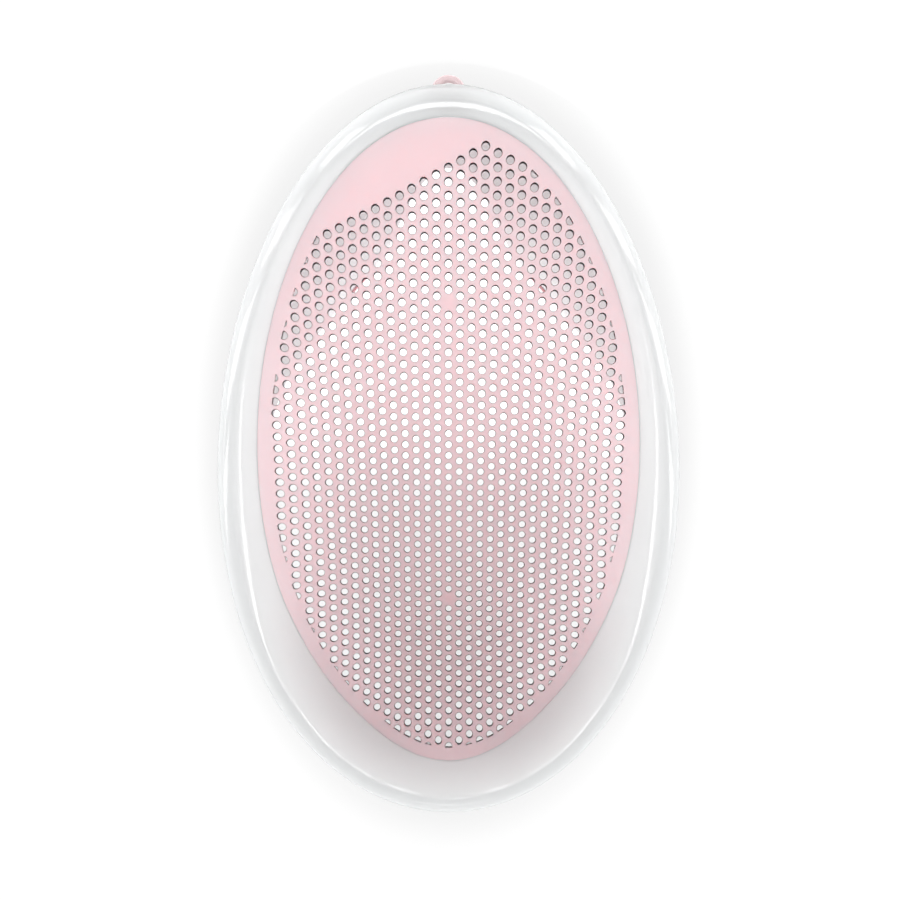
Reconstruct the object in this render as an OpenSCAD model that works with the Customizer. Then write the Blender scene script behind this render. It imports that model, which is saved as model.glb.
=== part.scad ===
// Infant bath support: a glossy rigid frame that carries a soft perforated seat,
// with non-slip pads under it and a fold-out hanging loop behind the head end.
// +Y points to the head end, +Z up. The origin is on the floor, in the middle.

/* [Frame] */
// Width across the rim
rim_w = 367; // [355:1:380]
// Length of the rim from head to foot
rim_l = 574; // [568:1:590]
// How much fuller the rim is at the foot end than at the head end
rim_egg = 0.058; // [0.03:0.002:0.08]
// Height of the rim at the head end
rim_head_h = 210; // [200:1:220]
// Height of the rim at the foot end
rim_foot_h = 88; // [84:1:96]
// Wall thickness of the moulding
wall = 3; // [2.5:0.1:3.5]
// Depth of the rounded outer lip
lip_drop = 8.5; // [7:0.5:9]
// Straight edge below the rounded lip
lip_edge = 3; // [2.5:0.5:3.5]
// Width of the rounded outer lip, crest to outside
lip_run = 13; // [11:0.5:14]
// Flange that carries the edge of the seat
ledge = 9; // [9:0.5:14]

/* [Base] */
// How far the skirt tapers in at the sides
side_inset = 28; // [20:1:32]
// How far the skirt tapers in at the head end
head_inset = 62; // [50:1:66]
// How far the skirt tapers in at the foot end
foot_inset = 21; // [15:1:26]
// Height of the opening under the head end
rear_arch_h = 120; // [80:1:130]
// Height of the openings at both sides
side_arch_h = 44; // [25:1:50]
// Height of the opening at the foot end
front_arch_h = 10; // [6:1:14]

/* [Seat] */
// Width of the seat panel
seat_w = 305; // [290:1:310]
// Length of the seat panel
seat_l = 511; // [500:1:520]
// Thickness of the soft panel, measured upright
seat_t = 3.2; // [2.8:0.1:3.6]
// How flat the seat is across before it turns up to its edge
seat_flatness = 2.8; // [2.4:0.1:3.2]

/* [Pads] */
// Height of the non-slip pads
pad_h = 6; // [5:0.5:8]
// How far a pad stands out past both faces of the skirt
pad_lap = 1.6; // [1:0.1:2.5]

/* [Hanging loop] */
// Radius of the eye
eye_r = 8; // [7:0.1:8]
// Outer radius of the ring
ring_r = 12.8; // [12:0.1:13]
// Thickness of the ring
ring_t = 4.8; // [4:0.1:4.8]
// Radius of the pin that the loop turns on
pin_r = 1.5; // [1.2:0.1:1.6]
// Angle that the loop is folded down, 0 is folded out
loop_angle = 0; // [0:5:90]

/* [Hidden] */

white = [0.94, 0.94, 0.95];
pink = [0.96, 0.82, 0.83];
steel = [0.75, 0.76, 0.78];

loop_reach = 9;                       // the loop stands out this far past the rim
rim_y = -loop_reach / 2;              // middle of the rim
seat_y = rim_y + 5.8;                 // the seat lies nearer to the head end
head_y = rim_y + rim_l / 2;           // head end of the rim
gap = 0.3;                            // clearance between seat and frame
stations = 120;                       // sections round the frame
wall_power = 1.6;                     // inner wall: steep below, rounded at the crest
inner_steps = 7;                      // points up the inner wall
lip_steps = 5;                        // points round the lip
head_power = 8;                       // how sharply the recess gathers at the head end
head_overhang = 20.5;                 // lip to skirt at the head end
side_overhang = 4;                    // lip to skirt elsewhere
head_recess = 8;                      // depth of the recess behind the lip, head end
side_recess = 1;

// Seat section along its middle: foot edge, dip under the child's seat, back rest, head edge
seat_middle = [[-254.2, 56], [-233, 38], [-208, 25], [-169, 19], [-108, 29],
               [-33, 57], [67, 107], [167, 162], [258.8, 207]];
// Height of the seat's edge along its length
seat_border = [[-254.2, 56], [-243, 48], [-222, 43], [-195, 51], [-141, 79],
               [-91, 107], [-21, 129.5], [78, 154], [170, 178.5], [258.8, 207]];

// Smooth curve through the points p, read at y
function knot(p, y, i = 0) = i >= len(p) - 2 || y < p[i + 1][0] ? i : knot(p, y, i + 1);
function rise(p, i) =
    let(a = p[max(i - 1, 0)], b = p[min(i + 1, len(p) - 1)]) (b[1] - a[1]) / (b[0] - a[0]);
function curve(p, y) =
    let(i = knot(p, y), d = p[i + 1][0] - p[i][0], s = (y - p[i][0]) / d)
    (1 + 2 * s) * (1 - s) ^ 2 * p[i][1] + s * (1 - s) ^ 2 * d * rise(p, i)
    + s * s * (3 - 2 * s) * p[i + 1][1] + s * s * (s - 1) * d * rise(p, i + 1);

// Top of the seat at a point in plan
function seat_z(x, y) =
    let(v = (y - seat_y) / (seat_l / 2),
        half = seat_w / 2 * sqrt(max(0, 1 - v * v)),
        across = min(1, abs(x) / max(half, 0.01)),
        middle = curve(seat_middle, y))
    middle + (curve(seat_border, y) - middle) * across ^ seat_flatness;

// Plan outlines at angle t from +X: an ellipse for the seat, an egg for the rim
function seat_edge(t) = [seat_w / 2 * cos(t), seat_y + seat_l / 2 * sin(t)];
function rim_edge(t) =
    [rim_w / 2 * cos(t) * (1 - rim_egg * sin(t)), rim_y + rim_l / 2 * sin(t)];
function outward(t) = let(d = rim_edge(t) - seat_edge(t)) d / norm(d);
function band(t) = norm(rim_edge(t) - seat_edge(t));

// Heights round the frame
function head(t) = max(0, sin(t)) ^ head_power;
function rim_z(t) =
    rim_foot_h + (rim_head_h - rim_foot_h) * ((rim_edge(t)[1] - rim_y) / rim_l + 0.5);
function crest_q(t) = band(t) - lip_run;
function lip_low(t) = rim_z(t) - lip_drop - lip_edge;
function overhang(t) = side_overhang + (head_overhang - side_overhang) * head(t);
function recess(t) = side_recess + (head_recess - side_recess) * head(t);
function inset(t) =
    side_inset + (sin(t) > 0 ? head_inset - side_inset : foot_inset - side_inset) * sin(t) ^ 2;

// Openings along the bottom edge: a smooth arch of height h, half as wide as w, about a
function away(t, a) = abs((t - a + 540) % 360 - 180);
function arch(t, a, w, h) = away(t, a) < w ? h * cos(90 * away(t, a) / w) ^ 2 : 0;
function skirt_low(t) =
    pad_h + arch(t, 90, 33, rear_arch_h) + arch(t, -90, 28, front_arch_h)
    + arch(t, 8, 32, side_arch_h) + arch(t, 172, 32, side_arch_h);

// The section at station t, as [distance out from the seat's edge, height]
function wall_z(t, q) =
    let(c = crest_q(t), z0 = seat_border_z(t), z1 = rim_z(t))
    q < c ? z0 + (z1 - z0) * (1 - (1 - max(0, q) / c) ^ wall_power)
          : z1 - lip_drop * (1 - sqrt(max(0, 1 - ((q - c) / lip_run) ^ 2)));
function wall_slope(t, q) = (wall_z(t, q + 0.05) - wall_z(t, q)) / 0.05;
function seat_border_z(t) = let(p = seat_edge(t)) curve(seat_border, p[1]);
function under_seat(t, q) =
    let(p = seat_edge(t) + outward(t) * q) [q, seat_z(p[0], p[1]) - seat_t - gap];
function skirt_q(t, z) =
    let(top = lip_low(t)) band(t) - overhang(t) - (inset(t) - overhang(t)) * (top - z) / top;
function offset_in(t, q) =
    let(m = wall_slope(t, q), n = sqrt(1 + m * m))
    [q + wall * m / n, wall_z(t, q) - wall / n];
function section(t) =
    let(w = band(t), c = crest_q(t), low = lip_low(t), foot = skirt_low(t), r = recess(t),
        mid = (foot + low) / 2,
        top_q = w - overhang(t) - wall,
        inner_q = min(c, max(0.5, top_q - 2.5)))
    concat(
        [under_seat(t, -ledge), under_seat(t, gap), [gap, seat_border_z(t) - gap]],
        [for (k = [1 : inner_steps]) let(q = gap + (c - gap) * k / inner_steps) [q, wall_z(t, q)]],
        [for (k = [1 : lip_steps]) let(a = 90 * k / lip_steps)
            [c + lip_run * sin(a), rim_z(t) - lip_drop * (1 - cos(a))]],
        [[w, low], [w - wall, low], [w - wall, low + r], [w - overhang(t), low + r]],
        [[skirt_q(t, mid), mid], [skirt_q(t, foot), foot]],
        [[skirt_q(t, foot) - wall, foot], [skirt_q(t, mid) - wall, mid]],
        [[top_q, wall_z(t, top_q) - wall - 0.6]],
        [for (k = [inner_steps : -1 : 0]) offset_in(t, inner_q * k / inner_steps)],
        [under_seat(t, 0) - [0, wall], under_seat(t, -ledge) - [0, wall]]);

// Closed strip of triangles between rings of m points, n rings, joined end to end or capped
function between(a, b, m) =
    [for (j = [0 : m - 1]) let(k = (j + 1) % m) each [[a + j, b + j, b + k], [a + j, b + k, a + k]]];
function loop_faces(n, m) = [for (i = [0 : n - 1]) each between(i * m, (i + 1) % n * m, m)];
function strip_faces(n, m) = concat(
    [for (i = [0 : n - 2]) each between(i * m, (i + 1) * m, m)],
    [[for (j = [0 : m - 1]) j]], [[for (j = [m - 1 : -1 : 0]) (n - 1) * m + j]]);
function placed(t, p) = let(s = seat_edge(t) + outward(t) * p[0]) [s[0], s[1], p[1]];

module frame() {
    rings = [for (i = [0 : stations - 1]) let(t = 360 * i / stations) section(t)];
    m = len(rings[0]);
    color(white)
    polyhedron([for (i = [0 : stations - 1]) for (p = rings[i]) placed(360 * i / stations, p)],
               loop_faces(stations, m), convexity = 10);
}

// The panel in rings about its middle, the top first and then the underside
seat_sides = 72;
seat_rings = 12;
module seat() {
    plan = [for (k = [1 : seat_rings]) for (i = [0 : seat_sides - 1])
        let(p = seat_edge(360 * i / seat_sides) - [0, seat_y]) p * k / seat_rings + [0, seat_y]];
    count = len(plan) + 1;
    points = concat([[0, seat_y, seat_z(0, seat_y)]], [for (p = plan) [p[0], p[1], seat_z(p[0], p[1])]],
                    [[0, seat_y, seat_z(0, seat_y) - seat_t]],
                    [for (p = plan) [p[0], p[1], seat_z(p[0], p[1]) - seat_t]]);
    fan = [for (i = [0 : seat_sides - 1]) [0, 1 + (i + 1) % seat_sides, 1 + i]];
    top = concat(fan, [for (k = [0 : seat_rings - 2])
        each between(1 + k * seat_sides, 1 + (k + 1) * seat_sides, seat_sides)]);
    under = [for (f = top) [f[2] + count, f[1] + count, f[0] + count]];
    rim = 1 + (seat_rings - 1) * seat_sides;
    color(pink)
    polyhedron(points, concat(top, under, between(rim, rim + count, seat_sides)), convexity = 10);
}

// A pad under the skirt from angle a to angle b, with a soft round bottom edge
pad_stations = 9;
module pad(a, b) {
    sections = [for (i = [0 : pad_stations - 1])
        let(t = a + (b - a) * i / (pad_stations - 1), q = skirt_q(t, pad_h),
            out = q + pad_lap, in = q - wall - pad_lap)
        for (p = [[out, pad_h], [out, 1], [out - 1, 0], [in + 1, 0], [in, 1], [in, pad_h]])
            placed(t, p)];
    color(pink) polyhedron(sections, strip_faces(pad_stations, 6), convexity = 4);
}
module pad_rear_right() pad(42, 56);
module pad_rear_left() pad(124, 138);
module pad_front_right() pad(-54, -34);
module pad_front_left() pad(-146, -126);

// The loop turns on a pin in two ears, just behind and below the rim
pin_y = head_y - 16.8;
pin_z = rim_head_h - 15;
barrel_r = 2.9;
barrel_l = 22;
ear_gap = 0.5;
ear_t = 3;
ear_r = 4;
running = 0.05;
plate_front = pin_y - barrel_r - 0.5;
module along_x(l) translate([-l / 2, 0, 0]) rotate([90, 0, 90]) linear_extrude(l) children();

module loop_bracket() {
    ear_x = barrel_l / 2 + ear_gap;
    color(white) {
        along_x(2 * (ear_x + ear_t))
            polygon([[plate_front, pin_z + 5], [plate_front - 1.8, pin_z + 5],
                     [plate_front - 4.6, pin_z - 7], [plate_front, pin_z - 7]]);
        for (x = [-ear_x - ear_t / 2, ear_x + ear_t / 2]) translate([x, 0, 0])
            along_x(ear_t) difference() {
                union() {
                    translate([pin_y, pin_z]) circle(ear_r, $fn = 64);
                    translate([plate_front - 0.5, pin_z - ear_r])
                        square([pin_y - plate_front + 0.5, 2 * ear_r]);
                }
                translate([pin_y, pin_z]) circle(pin_r, $fn = 64);
            }
    }
}

module loop_pin() color(steel)
    translate([0, pin_y, pin_z]) along_x(barrel_l + 2 * (ear_gap + ear_t)) circle(pin_r, $fn = 64);

module hanging_loop() {
    bevel = 1;
    ring_y = head_y + loop_reach - ring_r - pin_y;
    half = ring_t / 2;
    color(pink)
    translate([0, pin_y, pin_z]) rotate([-loop_angle, 0, 0]) difference() {
        union() {
            along_x(barrel_l) circle(barrel_r, $fn = 64);
            translate([0, ring_y, 0]) rotate_extrude($fn = 96)
                polygon([[eye_r, bevel - half], [eye_r + bevel, -half], [ring_r - bevel, -half],
                         [ring_r, bevel - half], [ring_r, half - bevel], [ring_r - bevel, half],
                         [eye_r + bevel, half], [eye_r, half - bevel]]);
        }
        along_x(barrel_l + 2) circle(pin_r + running, $fn = 64);
    }
}

frame();
seat();
pad_rear_left();
pad_rear_right();
pad_front_left();
pad_front_right();
loop_bracket();
loop_pin();
hanging_loop();
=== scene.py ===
from math import acos, atan2, cos, hypot, pi, radians, sin, sqrt

import bpy
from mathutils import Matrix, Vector
from mathutils.geometry import delaunay_2d_cdt


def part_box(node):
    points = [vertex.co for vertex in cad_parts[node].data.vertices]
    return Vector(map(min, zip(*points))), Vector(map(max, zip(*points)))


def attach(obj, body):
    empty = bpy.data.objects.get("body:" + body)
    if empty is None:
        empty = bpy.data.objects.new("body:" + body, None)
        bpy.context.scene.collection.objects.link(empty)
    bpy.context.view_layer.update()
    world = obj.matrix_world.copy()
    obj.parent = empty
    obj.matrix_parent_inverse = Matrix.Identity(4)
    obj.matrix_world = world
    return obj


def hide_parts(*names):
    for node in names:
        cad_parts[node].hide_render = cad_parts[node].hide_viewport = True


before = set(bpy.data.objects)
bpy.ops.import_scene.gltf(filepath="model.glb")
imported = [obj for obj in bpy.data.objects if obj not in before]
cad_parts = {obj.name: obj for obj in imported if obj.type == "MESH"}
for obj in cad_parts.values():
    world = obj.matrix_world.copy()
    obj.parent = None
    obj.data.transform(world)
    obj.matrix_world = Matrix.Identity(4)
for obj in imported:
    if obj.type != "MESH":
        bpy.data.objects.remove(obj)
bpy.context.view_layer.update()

MM = 0.001

# ---------------------------------------------------------------- dimensions, in millimetres
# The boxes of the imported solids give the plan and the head's height; the rest repeats the design.
# The object is an egg-shaped frame round an oval seat: A is half the width and B half the length.
seat_low, seat_high = [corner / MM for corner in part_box("seat")]
rim_low, rim_high = [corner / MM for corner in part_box("frame")]
SEAT_A = (seat_high.x - seat_low.x) / 2
SEAT_B = (seat_high.y - seat_low.y) / 2
SEAT_Y = (seat_high.y + seat_low.y) / 2
RIM_B = (rim_high.y - rim_low.y) / 2
RIM_Y = (rim_high.y + rim_low.y) / 2
RIM_A = 183.5
RIM_EGG = 0.058  # how much narrower the rim is towards the head
RIM_HEAD_H = rim_high.z
RIM_FOOT_H = 88
WALL = 3
WALL_POWER = 1.6  # how quickly the inner wall flattens towards the rim

# the rolled lip: it runs outwards and drops, and ends in a short upright edge
LIP_RUN = 13
LIP_DROP = 8.5
LIP_EDGE = 3

# the flange under the seat's edge, and the gaps between frame and seat
LEDGE = 9
GAP = 0.3
SEAM = -0.1

# the skirt: the lip hangs over it, and it leans inwards to its foot
HEAD_POWER = 8
HEAD_OVERHANG, SIDE_OVERHANG = 20.5, 4
HEAD_RECESS, SIDE_RECESS = 8, 1
HEAD_INSET, SIDE_INSET, FOOT_INSET = 62, 28, 21
# arches along the bottom edge: middle, half width (degrees round the rim) and height
ARCHES = [(90, 33, 120), (-90, 28, 10), (8, 32, 44), (172, 32, 44)]
# pads: first and last degree round the rim
PADS = {"pad_rear_right": (42, 56), "pad_rear_left": (124, 138),
        "pad_front_right": (-54, -34), "pad_front_left": (-146, -126)}
PAD_H = 6
PAD_LAP = 1.6

# the seat's top down its middle and along its border: place along the object, height
SEAT_T = 3.2
SEAT_FLATNESS = 2.8  # how late the seat rises from its middle to its border
SEAT_EDGE = 0.12
SEAT_MIDDLE = [(-254.2, 56), (-233, 38), (-208, 25), (-169, 19), (-108, 29),
               (-33, 57), (67, 107), (167, 162), (258.8, 207)]
SEAT_BORDER = [(-254.2, 56), (-243, 48), (-222, 43), (-195, 51), (-141, 79),
               (-91, 107), (-21, 129.5), (78, 154), (170, 178.5), (258.8, 207)]

# drain holes: a grid of columns, every second one shifted by half a step
HOLE_R = 2.9
HOLE_BEVEL = 0.35
HOLE_SIDES = 16
PITCH = 9.2
GRID_Y = 22.5
GRID_COLUMNS = 15
GRID_ROWS = 60
PLAIN_BORDER = 9.2
LEAST_HOLE = 0.9  # a hole that the border leaves less of than this is left out
CORNER_COLUMN = 3  # the holes reach furthest up in this column
CORNER_ROW = -47
LEFT_OUT = ((0, -24), (0, 30))


# ---------------------------------------------------------------- shape of the seat and the rim
def curve(points, y):
    """Smooth curve through the points, read at y."""
    i = 0
    while i < len(points) - 2 and y >= points[i + 1][0]:
        i += 1

    def rise(k):
        a, b = points[max(k - 1, 0)], points[min(k + 1, len(points) - 1)]
        return (b[1] - a[1]) / (b[0] - a[0])

    d = points[i + 1][0] - points[i][0]
    s = (y - points[i][0]) / d
    return ((1 + 2 * s) * (1 - s) ** 2 * points[i][1] + s * (1 - s) ** 2 * d * rise(i)
            + s * s * (3 - 2 * s) * points[i + 1][1] + s * s * (s - 1) * d * rise(i + 1))


def seat_z(x, y):
    """Height of the seat's top at a point in plan."""
    v = (y - SEAT_Y) / SEAT_B
    half = SEAT_A * sqrt(max(0, 1 - v * v))
    across = min(1, abs(x) / max(half, 0.01))
    middle = curve(SEAT_MIDDLE, y)
    return middle + (curve(SEAT_BORDER, y) - middle) * across ** SEAT_FLATNESS


def seat_normal(x, y):
    """Direction straight out of the seat's top."""
    step = 0.5
    inside = 1 - 1e-4
    x, y = x * inside, SEAT_Y + (y - SEAT_Y) * inside
    dx = (seat_z(x + step, y) - seat_z(x - step, y)) / (2 * step)
    dy = (seat_z(x, y + step) - seat_z(x, y - step)) / (2 * step)
    return Vector((-dx, -dy, 1)).normalized()


class Station:
    """One upright section through the frame; q runs outwards from the seat's edge and z upwards."""

    def __init__(self, degrees):
        t = radians(degrees)
        self.edge = Vector((SEAT_A * cos(t), SEAT_Y + SEAT_B * sin(t)))
        rim = Vector((RIM_A * cos(t) * (1 - RIM_EGG * sin(t)), RIM_Y + RIM_B * sin(t)))
        self.band = (rim - self.edge).length
        self.out = (rim - self.edge).normalized()
        self.border_z = curve(SEAT_BORDER, self.edge.y)
        share = (rim.y - RIM_Y) / (2 * RIM_B) + 0.5
        self.rim_z = RIM_FOOT_H + (RIM_HEAD_H - RIM_FOOT_H) * share
        self.crest = self.band - LIP_RUN
        self.low = self.rim_z - LIP_DROP - LIP_EDGE
        head = max(0, sin(t)) ** HEAD_POWER
        self.overhang = SIDE_OVERHANG + (HEAD_OVERHANG - SIDE_OVERHANG) * head
        self.recess = SIDE_RECESS + (HEAD_RECESS - SIDE_RECESS) * head
        end_inset = HEAD_INSET if sin(t) > 0 else FOOT_INSET
        self.inset = SIDE_INSET + (end_inset - SIDE_INSET) * sin(t) ** 2
        self.foot = PAD_H
        for middle, width, height in ARCHES:
            away = abs((degrees - middle + 540) % 360 - 180)
            if away < width:
                self.foot += height * cos(pi / 2 * away / width) ** 2

    def place(self, q, z):
        """The point in metres."""
        p = self.edge + self.out * q
        return (p.x * MM, p.y * MM, z * MM)

    def wall_z(self, q):
        """Height of the inner wall, and past the crest of the lip."""
        if q < self.crest:
            rise = 1 - (1 - max(0, q) / self.crest) ** WALL_POWER
            return self.border_z + (self.rim_z - self.border_z) * rise
        return self.rim_z - LIP_DROP * (1 - sqrt(max(0, 1 - ((q - self.crest) / LIP_RUN) ** 2)))

    def under_wall(self, q):
        """The point straight below the wall's surface, by the wall's thickness."""
        step = 0.05
        slope = (self.wall_z(q + step) - self.wall_z(q)) / step
        n = sqrt(1 + slope * slope)
        return (q + WALL * slope / n, self.wall_z(q) - WALL / n)

    def under_seat(self, q):
        """The point just below the seat, at the flange's top."""
        p = self.edge + self.out * q
        return (q, seat_z(p.x, p.y) - SEAT_T - GAP)

    def skirt_q(self, z):
        """Outer face of the skirt at a height."""
        taper = (self.inset - self.overhang) * (self.low - z) / self.low
        return self.band - self.overhang - taper


# ---------------------------------------------------------------- mesh helpers
def mesh_object(name, verts, faces, material, normals=None):
    """A smooth-shaded object from points in metres, with its own normals if given."""
    mesh = bpy.data.meshes.new(name)
    mesh.from_pydata(verts, [], faces)
    mesh.validate()
    mesh.materials.append(material)
    mesh.shade_smooth()
    if normals:
        mesh.normals_split_custom_set_from_vertices(normals)
    obj = bpy.data.objects.new(name, mesh)
    bpy.context.scene.collection.objects.link(obj)
    return obj


def rounded(points, radii, steps=4):
    """The closed outline with an arc at each corner that has a radius."""
    out = []
    for i, (p, r) in enumerate(zip(points, radii)):
        if not r:
            out.append(p)
            continue
        a, b = points[i - 1], points[(i + 1) % len(points)]
        la, lb = hypot(a[0] - p[0], a[1] - p[1]), hypot(b[0] - p[0], b[1] - p[1])
        ra, rb = min(r, la * 0.45) / la, min(r, lb * 0.45) / lb
        start = (p[0] + (a[0] - p[0]) * ra, p[1] + (a[1] - p[1]) * ra)
        end = (p[0] + (b[0] - p[0]) * rb, p[1] + (b[1] - p[1]) * rb)
        for k in range(steps + 1):
            s = k / steps
            out.append(tuple((1 - s) ** 2 * start[j] + 2 * s * (1 - s) * p[j] + s * s * end[j]
                             for j in (0, 1)))
    return out


def swept(rings, closed):
    """Vertices and faces of rings of points joined in order, with flat caps unless closed."""
    m, n = len(rings[0]), len(rings)
    verts = [p for ring in rings for p in ring]
    faces = []
    for i in range(n if closed else n - 1):
        a, b = i * m, (i + 1) % n * m
        faces += [(a + j, a + (j + 1) % m, b + (j + 1) % m, b + j) for j in range(m)]
    if not closed:
        faces += [tuple(range(m - 1, -1, -1)), tuple(range((n - 1) * m, n * m))]
    return verts, faces


# ---------------------------------------------------------------- materials
def node_material(name):
    """A new material with its node tree and its shader."""
    material = bpy.data.materials.new(name)
    material.use_nodes = True
    tree = material.node_tree
    return material, tree, tree.nodes["Principled BSDF"]


def noise(tree, scale, detail, coords):
    node = tree.nodes.new("ShaderNodeTexNoise")
    node.inputs["Scale"].default_value = scale
    node.inputs["Detail"].default_value = detail
    tree.links.new(coords.outputs["Object"], node.inputs["Vector"])
    return node


def spread(tree, source, low, high, socket):
    """Map the middle of a noise's range to low..high and feed a socket."""
    node = tree.nodes.new("ShaderNodeMapRange")
    node.inputs["From Min"].default_value = 0.3
    node.inputs["From Max"].default_value = 0.7
    node.inputs["To Min"].default_value = low
    node.inputs["To Max"].default_value = high
    tree.links.new(source, node.inputs["Value"])
    tree.links.new(node.outputs["Result"], socket)


def two_tone(tree, source, first, second, socket):
    mix = tree.nodes.new("ShaderNodeMix")
    mix.data_type = "RGBA"
    mix.inputs["A"].default_value = (*first, 1)
    mix.inputs["B"].default_value = (*second, 1)
    tree.links.new(source, mix.inputs["Factor"])
    tree.links.new(mix.outputs["Result"], socket)


def bump(tree, source, strength, distance, shader):
    node = tree.nodes.new("ShaderNodeBump")
    node.inputs["Strength"].default_value = strength
    node.inputs["Distance"].default_value = distance
    tree.links.new(source, node.inputs["Height"])
    tree.links.new(node.outputs["Normal"], shader.inputs["Normal"])


def moulded_plastic(name, first, second, rough, wave, depth):
    """Glossy moulded plastic: faint clouding, slightly uneven gloss and a very shallow waviness.

    depth is how much light enters the plastic, and how far it spreads there.
    """
    weight, radius = depth
    material, tree, shader = node_material(name)
    coords = tree.nodes.new("ShaderNodeTexCoord")
    cloud = noise(tree, scale=14, detail=3, coords=coords)
    two_tone(tree, cloud.outputs["Fac"], first, second, shader.inputs["Base Color"])
    handling = noise(tree, scale=60, detail=4, coords=coords)
    spread(tree, handling.outputs["Fac"], rough * 0.8, rough * 1.25, shader.inputs["Roughness"])
    shader.inputs["IOR"].default_value = 1.5
    shader.inputs["Subsurface Weight"].default_value = weight
    shader.inputs["Subsurface Radius"].default_value = (radius, radius, radius)
    shader.inputs["Subsurface Scale"].default_value = 1.0
    ripple = noise(tree, scale=9, detail=1, coords=coords)
    bump(tree, ripple.outputs["Fac"], wave, 0.001, shader)
    return material


def elastomer(name, first, second, rough, grain):
    """Soft-touch elastomer: fine matt grain, gentle mottling and light bleeding through it."""
    material, tree, shader = node_material(name)
    coords = tree.nodes.new("ShaderNodeTexCoord")
    mottle = noise(tree, scale=22, detail=4, coords=coords)
    two_tone(tree, mottle.outputs["Fac"], first, second, shader.inputs["Base Color"])
    fine = noise(tree, scale=1400, detail=2, coords=coords)
    spread(tree, fine.outputs["Fac"], rough * 0.85, rough * 1.15, shader.inputs["Roughness"])
    shader.inputs["IOR"].default_value = 1.48
    shader.inputs["Subsurface Weight"].default_value = 0.4
    shader.inputs["Subsurface Radius"].default_value = (0.006, 0.003, 0.003)
    shader.inputs["Subsurface Scale"].default_value = 1.0
    shader.inputs["Sheen Weight"].default_value = 0.08
    shader.inputs["Sheen Roughness"].default_value = 0.4
    bump(tree, fine.outputs["Fac"], grain, 0.0003, shader)
    return material


def brushed_pin(name):
    """Satin steel with fine streaks round the pin."""
    material, tree, shader = node_material(name)
    coords = tree.nodes.new("ShaderNodeTexCoord")
    stretch = tree.nodes.new("ShaderNodeMapping")
    stretch.inputs["Scale"].default_value = (1, 40, 40)
    tree.links.new(coords.outputs["Object"], stretch.inputs["Vector"])
    streaks = tree.nodes.new("ShaderNodeTexNoise")
    streaks.inputs["Scale"].default_value = 120
    tree.links.new(stretch.outputs["Vector"], streaks.inputs["Vector"])
    two_tone(tree, streaks.outputs["Fac"], (0.5, 0.5, 0.51), (0.62, 0.62, 0.63),
             shader.inputs["Base Color"])
    spread(tree, streaks.outputs["Fac"], 0.22, 0.34, shader.inputs["Roughness"])
    shader.inputs["Metallic"].default_value = 1
    return material


WHITE = moulded_plastic("frame_white_gloss", (0.815, 0.83, 0.835), (0.845, 0.86, 0.865),
                        rough=0.1, wave=0.02, depth=(0.8, 0.01))
PINK_SEAT = elastomer("seat_pink_soft", (0.95, 0.67, 0.70), (0.99, 0.71, 0.74), rough=0.5, grain=0.15)
PINK_PAD = elastomer("pad_pink_soft", (0.80, 0.50, 0.53), (0.84, 0.55, 0.57), rough=0.6, grain=0.3)
PINK_LOOP = moulded_plastic("loop_pink_gloss", (0.97, 0.74, 0.76), (0.99, 0.78, 0.79),
                            rough=0.25, wave=0.01, depth=(0.2, 0.004))
STEEL = brushed_pin("pin_steel_satin")

# ---------------------------------------------------------------- frame
STATIONS = 480
WALL_STEPS = 22
WALL_CROWDING = 1.4  # the steps up the wall get closer together towards the crest
LIP_STEPS = 14
SKIRT_STEPS = 6
UNDER_STEPS = 7
EDGE_ROUND = 1.2
TIP_ROUND = 1
CORNER_ROUND = 0.4
SKIRT_DROP = 0.6  # how far the skirt's inner face ends below the wall
UNDER_BACK = 2.5  # how far inside the skirt the wall's lower face starts
UNDER_LEAST = 0.5
SHARP_ANGLE = 50


def frame_section(s):
    """Closed outline of the frame at a station, from the flange over the wall and lip and back below."""
    top_q = s.band - s.overhang - WALL
    inner_q = min(s.crest, max(UNDER_LEAST, top_q - UNDER_BACK))
    low, foot = s.low, s.foot
    points, radii = [], []

    def add(point, radius=0.0):
        points.append(point)
        radii.append(radius)

    add(s.under_seat(-LEDGE), TIP_ROUND)
    add(s.under_seat(SEAM))
    add((SEAM, s.border_z - SEAM))
    for k in range(1, WALL_STEPS + 1):
        share = 1 - (1 - k / WALL_STEPS) ** WALL_CROWDING
        q = SEAM + (s.crest - SEAM) * share
        add((q, s.wall_z(q)))
    for k in range(1, LIP_STEPS + 1):
        a = pi / 2 * k / LIP_STEPS
        add((s.crest + LIP_RUN * sin(a), s.rim_z - LIP_DROP * (1 - cos(a))))
    add((s.band, low), EDGE_ROUND)
    add((s.band - WALL, low), EDGE_ROUND)
    add((s.band - WALL, low + s.recess), CORNER_ROUND)
    add((s.band - s.overhang, low + s.recess), CORNER_ROUND)
    for k in range(1, SKIRT_STEPS):
        z = low + (foot - low) * k / SKIRT_STEPS
        add((s.skirt_q(z), z))
    add((s.skirt_q(foot), foot), EDGE_ROUND)
    add((s.skirt_q(foot) - WALL, foot), EDGE_ROUND)
    for k in range(SKIRT_STEPS - 1, 0, -1):
        z = low + (foot - low) * k / SKIRT_STEPS
        add((s.skirt_q(z) - WALL, z))
    add((top_q, s.wall_z(top_q) - WALL - SKIRT_DROP), TIP_ROUND)
    for k in range(UNDER_STEPS, -1, -1):
        add(s.under_wall(inner_q * k / UNDER_STEPS))
    q, z = s.under_seat(0)
    add((q, z - WALL))
    q, z = s.under_seat(-LEDGE)
    add((q, z - WALL), TIP_ROUND)
    return rounded(points, radii)


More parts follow.
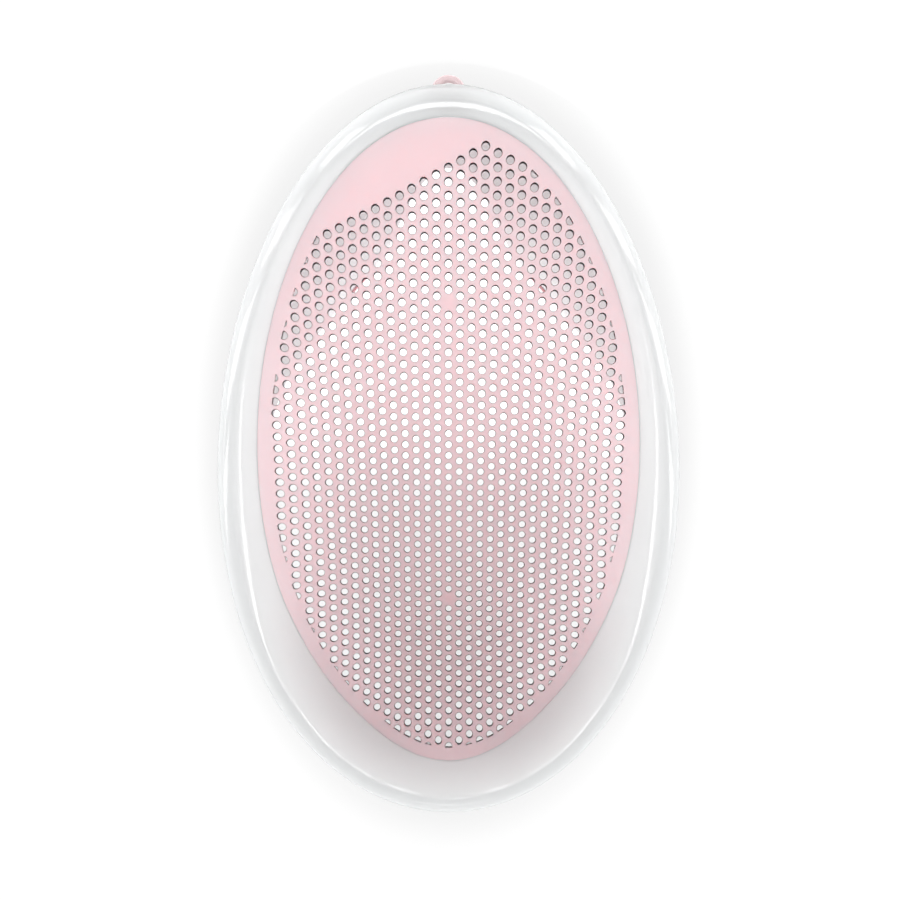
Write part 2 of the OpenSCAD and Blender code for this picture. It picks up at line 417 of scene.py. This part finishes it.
def make_frame():
    """The frame: its section swept round the rim, with even shading between its sharp edges."""
    rings = []
    for i in range(STATIONS):
        s = Station(360 * i / STATIONS)
        rings.append([s.place(q, z) for q, z in frame_section(s)])
    verts, faces = swept(rings, closed=True)
    shell = mesh_object("frame_shell", verts, faces, WHITE)
    shell.data.set_sharp_from_angle(angle=radians(SHARP_ANGLE))
    even = shell.modifiers.new("even_shading", "WEIGHTED_NORMAL")
    even.keep_sharp = True
    return shell


# ---------------------------------------------------------------- seat
def hole_rows(column):
    """The rows of a column that carry holes; the head end above them is plain."""
    top = CORNER_ROW + abs(column - CORNER_COLUMN)
    return [row for row in range(top, GRID_ROWS)
            if (row - column) % 2 == 0 and (column, row) not in LEFT_OUT]


def grid_point(column, row):
    """Place in plan of a point of the hole grid."""
    return PITCH * column, GRID_Y - PITCH / 2 * row


def on_seat(x, y):
    return hypot(x / SEAT_A, (y - SEAT_Y) / SEAT_B) <= 1


BORDER_ROUNDS = 4  # steps of the search for the nearest point of the edge


def border_depth(x, y):
    """How far a point lies inside the seat's edge, and the direction straight out."""
    t = atan2((y - SEAT_Y) / SEAT_B, x / SEAT_A)
    for _ in range(BORDER_ROUNDS):
        ex, ey = SEAT_A * cos(t), SEAT_Y + SEAT_B * sin(t)
        dx, dy = -SEAT_A * sin(t), SEAT_B * cos(t)
        t += ((x - ex) * dx + (y - ey) * dy) / (dx * dx + dy * dy)
    ex, ey = SEAT_A * cos(t), SEAT_Y + SEAT_B * sin(t)
    nx, ny = cos(t) / SEAT_A, sin(t) / SEAT_B
    length = hypot(nx, ny)
    nx, ny = nx / length, ny / length
    return (ex - x) * nx + (ey - y) * ny, nx, ny


def hole_outlines():
    """Each hole as (middle, offsets from it in hole radii); the plain border cuts holes off straight."""
    holes = []
    for column in range(-GRID_COLUMNS, GRID_COLUMNS + 1):
        for row in hole_rows(column):
            x, y = grid_point(column, row)
            if not on_seat(x, y):
                continue
            depth, nx, ny = border_depth(x, y)
            room = depth - PLAIN_BORDER
            if HOLE_R + room < LEAST_HOLE:
                continue
            cut = acos(room / HOLE_R) if room < HOLE_R else 0
            first = atan2(ny, nx) + cut
            gaps = HOLE_SIDES - 1 if cut else HOLE_SIDES
            turns = [first + (2 * pi - 2 * cut) * k / gaps for k in range(HOLE_SIDES)]
            holes.append(((x, y), [(cos(a), sin(a)) for a in turns]))
    return holes


SEAT_SIDES = 240
HOLE_FOOT = 0.05  # how far above the seat's lower face the wall of a hole ends
BORDER, FREE = -1, -2  # owners of a plan point that is on no hole
FREE_MARGIN = 3
FREE_CLEAR = 1.2


def free_points(holes):
    """Grid points clear of the holes and the edge, which keep the plain areas evenly divided."""
    taken = {(round(x, 1), round(y, 1)) for (x, y), ring in holes}
    points = []
    for column in range(-GRID_COLUMNS - 2, GRID_COLUMNS + 3):
        for row in range(2 - GRID_ROWS, GRID_ROWS + 4):
            x, y = grid_point(column, row)
            if (row - column) % 2 or (round(x, 1), round(y, 1)) in taken:
                continue
            if not on_seat(x, y) or border_depth(x, y)[0] <= FREE_MARGIN:
                continue
            if all(hypot(x - hx, y - hy) > HOLE_R + FREE_CLEAR for (hx, hy), ring in holes):
                points.append((x, y))
    return points


def seat_sheet(holes):
    """The seat in plan: its points, its triangles with the holes left open, and the index of each input."""
    plan, owner, edges = [], [], []

    def outline(points, name):
        start = len(plan)
        plan.extend(points)
        owner.extend([name] * len(points))
        edges.extend((start + k, start + (k + 1) % len(points)) for k in range(len(points)))

    turns = [2 * pi * k / SEAT_SIDES for k in range(SEAT_SIDES)]
    a, b = SEAT_A - SEAT_EDGE, SEAT_B - SEAT_EDGE
    outline([(a * cos(t), SEAT_Y + b * sin(t)) for t in turns], BORDER)
    r = HOLE_R + HOLE_BEVEL
    for number, ((x, y), ring) in enumerate(holes):
        outline([(x + r * ux, y + r * uy) for ux, uy in ring], number)
    for point in free_points(holes):
        plan.append(point)
        owner.append(FREE)
    result = delaunay_2d_cdt([Vector(p) for p in plan], edges, [], 0, 1e-6)
    points, triangles, sources = result[0], result[2], result[3]
    owners = [owner[source[0]] if source else FREE for source in sources]

    def in_hole(triangle):
        names = {owners[v] for v in triangle}
        return len(names) == 1 and min(names) > BORDER

    kept = [tuple(triangle) for triangle in triangles if not in_hole(triangle)]
    index = {source: i for i, merged in enumerate(sources) for source in merged}
    return points, kept, index


def make_seat():
    """The seat panel: a top and a bottom sheet, joined by the walls of the holes and the rounded edge."""
    holes = hole_outlines()
    points, triangles, index = seat_sheet(holes)
    count = len(points)
    verts, normals, faces = [], [], []

    def add(x, y, z, normal):
        verts.append((x * MM, y * MM, z * MM))
        normals.append(normal)
        return len(verts) - 1

    for p in points:
        add(p.x, p.y, seat_z(p.x, p.y), seat_normal(p.x, p.y))
    for p in points:
        add(p.x, p.y, seat_z(p.x, p.y) - SEAT_T, -seat_normal(p.x, p.y))
    for a, b, c in triangles:
        faces.append((a, b, c))
        faces.append((c + count, b + count, a + count))

    def join(upper, lower):
        """A band of a hole's wall between two of its rings.

        Its faces look into the sheet and not into the hole, which makes the wall dark.
        """
        for k in range(len(upper)):
            j = (k + 1) % len(upper)
            faces.append((upper[j], upper[k], lower[k], lower[j]))

    start = SEAT_SIDES
    for (x, y), ring in holes:
        top = [index[start + k] for k in range(HOLE_SIDES)]
        start += HOLE_SIDES
        neck, foot = [], []
        for ux, uy in ring:
            px, py = x + HOLE_R * ux, y + HOLE_R * uy
            inward = Vector((-ux, -uy, 0)).normalized()
            neck.append(add(px, py, seat_z(px, py) - HOLE_BEVEL, inward))
            foot.append(add(px, py, seat_z(px, py) - SEAT_T + HOLE_FOOT, inward))
        join(top, neck)
        join(neck, foot)
        join(foot, [i + count for i in top])

    # the outer edge in rows from the top down: height against the top, and how far out
    rows = [[index[k] for k in range(SEAT_SIDES)]]
    for lift, out in ((-SEAT_EDGE * 0.3, 0.7), (-SEAT_EDGE, 1.0), (SEAT_EDGE - SEAT_T, 1.0)):
        row = []
        grow = SEAT_EDGE * (out - 1)
        up = Vector((0, 0, 1 if out < 1 else 0))
        for k in range(SEAT_SIDES):
            t = 2 * pi * k / SEAT_SIDES
            x, y = (SEAT_A + grow) * cos(t), SEAT_Y + (SEAT_B + grow) * sin(t)
            edge_z = curve(SEAT_BORDER, SEAT_Y + SEAT_B * sin(t))
            side = Vector((cos(t) / SEAT_A, sin(t) / SEAT_B, 0)).normalized()
            row.append(add(x, y, edge_z + lift, (side + up).normalized()))
        rows.append(row)
    rows.append([i + count for i in rows[0]])
    for upper, lower in zip(rows, rows[1:]):
        for k in range(SEAT_SIDES):
            j = (k + 1) % SEAT_SIDES
            faces.append((upper[k], lower[k], lower[j], upper[j]))
    return mesh_object("seat_panel", verts, faces, PINK_SEAT, normals)


# ---------------------------------------------------------------- pads, bracket, loop and pin
PAD_STEPS = 30
PAD_TUCK = 0.9  # how much a pad narrows at its two ends
PAD_TUCK_RATE = 20  # the narrowing is over after one part in this of the length
PAD_TOP_ROUND, PAD_FOOT_ROUND = 0.5, 1.4


def make_pad(name, first, last):
    """A rubber strip that laps over the skirt's foot on both sides."""
    rings = []
    for i in range(PAD_STEPS + 1):
        s = Station(first + (last - first) * i / PAD_STEPS)
        end = min(i, PAD_STEPS - i) / PAD_STEPS
        tuck = PAD_TUCK * max(0, 1 - end * PAD_TUCK_RATE)
        q = s.skirt_q(PAD_H)
        outer, inner = q + PAD_LAP - tuck, q - WALL - PAD_LAP + tuck
        corners = [(outer, PAD_H), (outer, 0), (inner, 0), (inner, PAD_H)]
        outline = rounded(corners, [PAD_TOP_ROUND, PAD_FOOT_ROUND, PAD_FOOT_ROUND, PAD_TOP_ROUND])
        rings.append([s.place(a, z) for a, z in outline])
    verts, faces = swept(rings, closed=False)
    return mesh_object(name + "_rubber", verts, faces, PINK_PAD)


def place_pieces():
    """Stand the detailed pieces in for their solids, and finish the solids that stay."""
    seat = make_seat()
    shell = make_frame()
    for piece, node, slot in ((seat, "seat", "seat_soft"), (shell, "frame", "frame_gloss")):
        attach(piece, "support")
        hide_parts(node)
    for node, (first, last) in PADS.items():
        pad = make_pad(node, first, last)
        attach(pad, "support")
        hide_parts(node)
    finish = {"loop_bracket": WHITE, "loop_pin": STEEL, "hanging_loop": PINK_LOOP}
    for node, material in finish.items():
        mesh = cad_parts[node].data
        mesh.materials.clear()
        mesh.materials.append(material)


# ---------------------------------------------------------------- studio, in metres
# tent: radiance at rising heights from the horizon up, as seen towards the foot, the sides and the head
SKY_HEIGHTS = (0.0, 0.25, 0.5, 0.75, 1.0)
SKY_FOOT = (4.5, 0.8, 1.8, 1.3, 0.0)
SKY_SIDES = (2.4, 1.5, 0.9, 0.3, 0.0)
SKY_HEAD = (2.6, 4.6, 1.8, 0.0, 0.0)
SKY_MOST = 5.0
# what the gloss mirrors: a darker tent, darkest overhead and behind the head end
GLOSS_ROUND = (0.5, 0.7, 0.6, 0.3, 0.0)
GLOSS_BEHIND = (0.0, 0.2, 0.8, 0.4, 0.0)
GLOSS_BEHIND_FROM = 0.9

# floor: its glow under the object, in its painted shadow beside the base, in its painted shadow halo along
# the outline, and in the open
FLOOR_GLOW = 0.93
FLOOR_BASE_SHADOW_GLOW = 0.68
FLOOR_OUTLINE_SHADOW_GLOW = 0.85
FLOOR_OPEN_GLOW = 0.98
# painted shade that darkens the floor's glow under the seat's dip
FLOOR_DIP_SHADE = 0.16
FLOOR_HEAD_POOL_GLOW = 0.9  # painted pool of extra light under the raised head end
FLOOR_TONE = 0.1
FLOOR_HALF = 6
# ovals on the floor that place its painted shadow and shade: middle along the object, half width, half
# length
RIM_OVAL = (0.022, 0.215, 0.34)
DIP_OVAL = (-0.15, 0.14, 0.2)

# a grey screen round the object, lower than the rim, in millimetres
SCREEN_AWAY = 100
SCREEN_DROP = 20
SCREEN_SIDES = 72
SCREEN_TONE = 0.3

# lamps that only show as reflections: name, place, aim, width, height, power
SIDE_STRIP = ("high_strip", (1.3, -0.05, 1.0), (0, -0.05, 0.1), 1.5, 0.05, 1.6)
END_PANELS = [("foot_panel", (0, -1.4, 1.2), (0, 0, 0.1), 0.2, 0.1, 0.6),
              ("head_panel", (0, 0.05, 2.0), (0, 0.2, 0.1), 0.4, 0.4, 4.5)]
# upright panels that glint on the lip round the foot end: name, degrees from the head's direction,
# degrees above the floor, width
GLINTS = [("glint_side", 103, 41, 0.16), ("glint_quarter", 80, 38, 0.26),
          ("glint_low", 60, 38, 0.18), ("glint_foot", 40, 44, 0.22)]
GLINT_AIM = (0.11, -0.2, 0.1)
GLINT_AWAY = 1.3
GLINT_HEIGHT = 0.5
GLINT_RADIANCE = 6

CAMERA_PLACE = (0.0012, -0.0077, 0.935)
CAMERA_LENS = 40
CAMERA_SENSOR = 36
CAMERA_SHIFT = 1 / 30


def reflected_lamp(name, place, aim, width, height, power):
    """An area lamp that lights nothing but shows in gloss."""
    data = bpy.data.lights.new(name, "AREA")
    data.shape = "RECTANGLE"
    data.size = width
    data.size_y = height
    data.energy = power
    lamp = bpy.data.objects.new(name, data)
    lamp.location = place
    lamp.rotation_euler = (Vector(aim) - Vector(place)).to_track_quat("-Z", "Y").to_euler()
    lamp.visible_diffuse = False
    bpy.context.scene.collection.objects.link(lamp)


def math_node(tree, operation, first, second):
    """Combine two sockets, or a socket and a number."""
    node = tree.nodes.new("ShaderNodeMath")
    node.operation = operation
    for socket, value in zip(node.inputs, (first, second)):
        if isinstance(value, float):
            socket.default_value = value
        else:
            tree.links.new(value, socket)
    return node.outputs["Value"]


def make_sky(world):
    """A studio tent, bright low down and dim overhead, with a darker one for the gloss to mirror."""
    world.use_nodes = True
    tree = world.node_tree
    coords = tree.nodes.new("ShaderNodeTexCoord")
    split = tree.nodes.new("ShaderNodeSeparateXYZ")
    tree.links.new(coords.outputs["Generated"], split.inputs["Vector"])

    # how far a direction turns from the foot, 0, by the sides to the head, 1
    flat = tree.nodes.new("ShaderNodeVectorMath")
    flat.operation = "MULTIPLY"
    flat.inputs[1].default_value = (1, 1, 0)
    tree.links.new(coords.outputs["Generated"], flat.inputs[0])
    unit = tree.nodes.new("ShaderNodeVectorMath")
    unit.operation = "NORMALIZE"
    tree.links.new(flat.outputs["Vector"], unit.inputs[0])
    heading = tree.nodes.new("ShaderNodeSeparateXYZ")
    tree.links.new(unit.outputs["Vector"], heading.inputs["Vector"])
    turn = tree.nodes.new("ShaderNodeMapRange")
    turn.inputs["From Min"].default_value = -1
    tree.links.new(heading.outputs["Y"], turn.inputs["Value"])
    turn = turn.outputs["Result"]

    def ramp(levels):
        node = tree.nodes.new("ShaderNodeValToRGB")
        stops = node.color_ramp.elements
        while len(stops) < len(SKY_HEIGHTS):
            stops.new(0.5)
        for stop, height, level in zip(stops, SKY_HEIGHTS, levels):
            stop.position = height
            stop.color = (level / SKY_MOST, level / SKY_MOST, level / SKY_MOST, 1)
        tree.links.new(split.outputs["Z"], node.inputs["Fac"])
        return node.outputs["Color"]

    def blend(factor, first, second):
        node = tree.nodes.new("ShaderNodeMix")
        node.data_type = "FLOAT"
        tree.links.new(factor, node.inputs[0])
        tree.links.new(first, node.inputs[2])
        tree.links.new(second, node.inputs[3])
        return node.outputs[0]

    foot, sides, head = ramp(SKY_FOOT), ramp(SKY_SIDES), ramp(SKY_HEAD)
    soft = blend(turn, blend(turn, foot, sides), blend(turn, sides, head))
    behind = tree.nodes.new("ShaderNodeMapRange")
    behind.interpolation_type = "SMOOTHSTEP"
    behind.inputs["From Min"].default_value = GLOSS_BEHIND_FROM
    tree.links.new(turn, behind.inputs["Value"])
    mirrored = blend(behind.outputs["Result"], ramp(GLOSS_ROUND), ramp(GLOSS_BEHIND))
    path = tree.nodes.new("ShaderNodeLightPath")
    light = math_node(tree, "MULTIPLY", blend(path.outputs["Is Glossy Ray"], soft, mirrored), SKY_MOST)
    # whatever the light does, the tent itself looks white
    shown = math_node(tree, "MAXIMUM", light, path.outputs["Is Camera Ray"])
    background = tree.nodes["Background"]
    background.inputs["Color"].default_value = (1, 1, 1, 1)
    tree.links.new(shown, background.inputs["Strength"])


def matt_stage(name, tone):
    """A plain matt material for what stands round the object."""
    material, tree, shader = node_material(name)
    shader.inputs["Base Color"].default_value = (tone, tone, tone, 1)
    shader.inputs["Roughness"].default_value = 0.9
    shader.inputs["Specular IOR Level"].default_value = 0
    return material, tree, shader


def floor_material():
    """White sweep that glows, with painted shadow round the object's base and outline, painted shade under
    the dip and a painted pool of light under the head end.
    """
    material, tree, shader = matt_stage("floor_white", FLOOR_TONE)
    shader.inputs["Emission Color"].default_value = (1, 1, 1, 1)
    coords = tree.nodes.new("ShaderNodeTexCoord")

    def oval(middle_y, half_width, half_length):
        """Distance from the middle of an oval, 1 on the oval itself."""
        place = tree.nodes.new("ShaderNodeMapping")
        place.vector_type = "TEXTURE"
        place.inputs["Location"].default_value = (0, middle_y, 0)
        place.inputs["Scale"].default_value = (half_width, half_length, 1)
        tree.links.new(coords.outputs["Object"], place.inputs["Vector"])
        reach = tree.nodes.new("ShaderNodeVectorMath")
        reach.operation = "LENGTH"
        tree.links.new(place.outputs["Vector"], reach.inputs[0])
        return reach.outputs["Value"]

    def fade(source, first, last, low, high):
        """Smooth change from low to high as the source goes from first to last."""
        node = tree.nodes.new("ShaderNodeMapRange")
        node.interpolation_type = "SMOOTHSTEP"
        node.inputs["From Min"].default_value = first
        node.inputs["From Max"].default_value = last
        node.inputs["To Min"].default_value = low
        node.inputs["To Max"].default_value = high
        tree.links.new(source, node.inputs["Value"])
        return node.outputs["Result"]

    rim = oval(*RIM_OVAL)
    # painted shadow: the glow drops beside the base, then rises through a painted shadow halo along the
    # outline to the open floor's level
    inside = fade(rim, 0.70, 0.92, FLOOR_GLOW, FLOOR_BASE_SHADOW_GLOW)
    edge = fade(rim, 0.92, 0.99, 0, FLOOR_OUTLINE_SHADOW_GLOW - FLOOR_BASE_SHADOW_GLOW)
    outside = fade(rim, 0.98, 1.14, 0, FLOOR_OPEN_GLOW - FLOOR_OUTLINE_SHADOW_GLOW)
    # painted shade under the dip
    under_dip = fade(oval(*DIP_OVAL), 0.1, 1, FLOOR_DIP_SHADE, 0)
    split = tree.nodes.new("ShaderNodeSeparateXYZ")
    tree.links.new(coords.outputs["Object"], split.inputs["Vector"])
    # painted pool of light on the floor under the raised head end, fading out towards the outline
    under_head = fade(split.outputs["Y"], -0.02, 0.08, 0, FLOOR_HEAD_POOL_GLOW)
    lift = math_node(tree, "MULTIPLY", under_head, fade(rim, 0.65, 0.9, 1, 0))
    level = math_node(tree, "ADD", math_node(tree, "ADD", inside, edge), outside)
    level = math_node(tree, "ADD", level, lift)
    level = math_node(tree, "SUBTRACT", level, under_dip)
    tree.links.new(level, shader.inputs["Emission Strength"])

    # the floor's lower face is clear, so that the object can be seen from below
    clear = tree.nodes.new("ShaderNodeBsdfTransparent")
    face = tree.nodes.new("ShaderNodeNewGeometry")
    mix = tree.nodes.new("ShaderNodeMixShader")
    tree.links.new(face.outputs["Backfacing"], mix.inputs[0])
    tree.links.new(shader.outputs["BSDF"], mix.inputs[1])
    tree.links.new(clear.outputs["BSDF"], mix.inputs[2])
    tree.links.new(mix.outputs["Shader"], tree.nodes["Material Output"].inputs["Surface"])
    return material


def make_floor():
    half = FLOOR_HALF
    corners = [(-half, -half, 0), (half, -half, 0), (half, half, 0), (-half, half, 0)]
    floor = mesh_object("floor", corners, [(0, 1, 2, 3)], floor_material())
    floor.visible_glossy = False


def make_screen():
    """An unseen screen that keeps low light off the outer walls, which would look burnt out."""
    material, tree, shader = matt_stage("screen_grey", SCREEN_TONE)
    verts, faces = [], []
    for i in range(SCREEN_SIDES):
        s = Station(360 * i / SCREEN_SIDES)
        verts += [s.place(s.band + SCREEN_AWAY, z) for z in (0, s.rim_z - SCREEN_DROP)]
        a, b = 2 * i, 2 * (i + 1) % (2 * SCREEN_SIDES)
        faces.append((a, b, b + 1, a + 1))
    screen = mesh_object("screen", verts, faces, material)
    screen.visible_camera = False
    screen.visible_glossy = False


def make_lamps():
    for side in (-1, 1):
        name, (x, y, z), aim, width, height, power = SIDE_STRIP
        reflected_lamp(name, (side * x, y, z), aim, width, height, power)
        for name, turn, rise, width in GLINTS:
            x, y, z = GLINT_AIM
            aim = Vector((-side * x, y, z))
            turn, rise = radians(turn), radians(rise)
            way = Vector((side * sin(turn) * cos(rise), cos(turn) * cos(rise), sin(rise)))
            power = pi * width * GLINT_HEIGHT * GLINT_RADIANCE
            reflected_lamp(name, aim + way * GLINT_AWAY, aim, width, GLINT_HEIGHT, power)
    for lamp in END_PANELS:
        reflected_lamp(*lamp)


def make_camera(scene):
    camera = bpy.data.objects.new("camera", bpy.data.cameras.new("camera"))
    camera.location = CAMERA_PLACE
    camera.data.lens = CAMERA_LENS
    camera.data.sensor_width = CAMERA_SENSOR
    camera.data.shift_y = CAMERA_SHIFT
    camera.data.clip_start = 0.01
    scene.collection.objects.link(camera)
    scene.camera = camera


def make_studio():
    scene = bpy.context.scene
    scene.view_settings.view_transform = "Standard"
    scene.world = bpy.data.worlds.new("studio")
    make_sky(scene.world)
    make_floor()
    make_screen()
    make_lamps()
    make_camera(scene)


place_pieces()
make_studio()
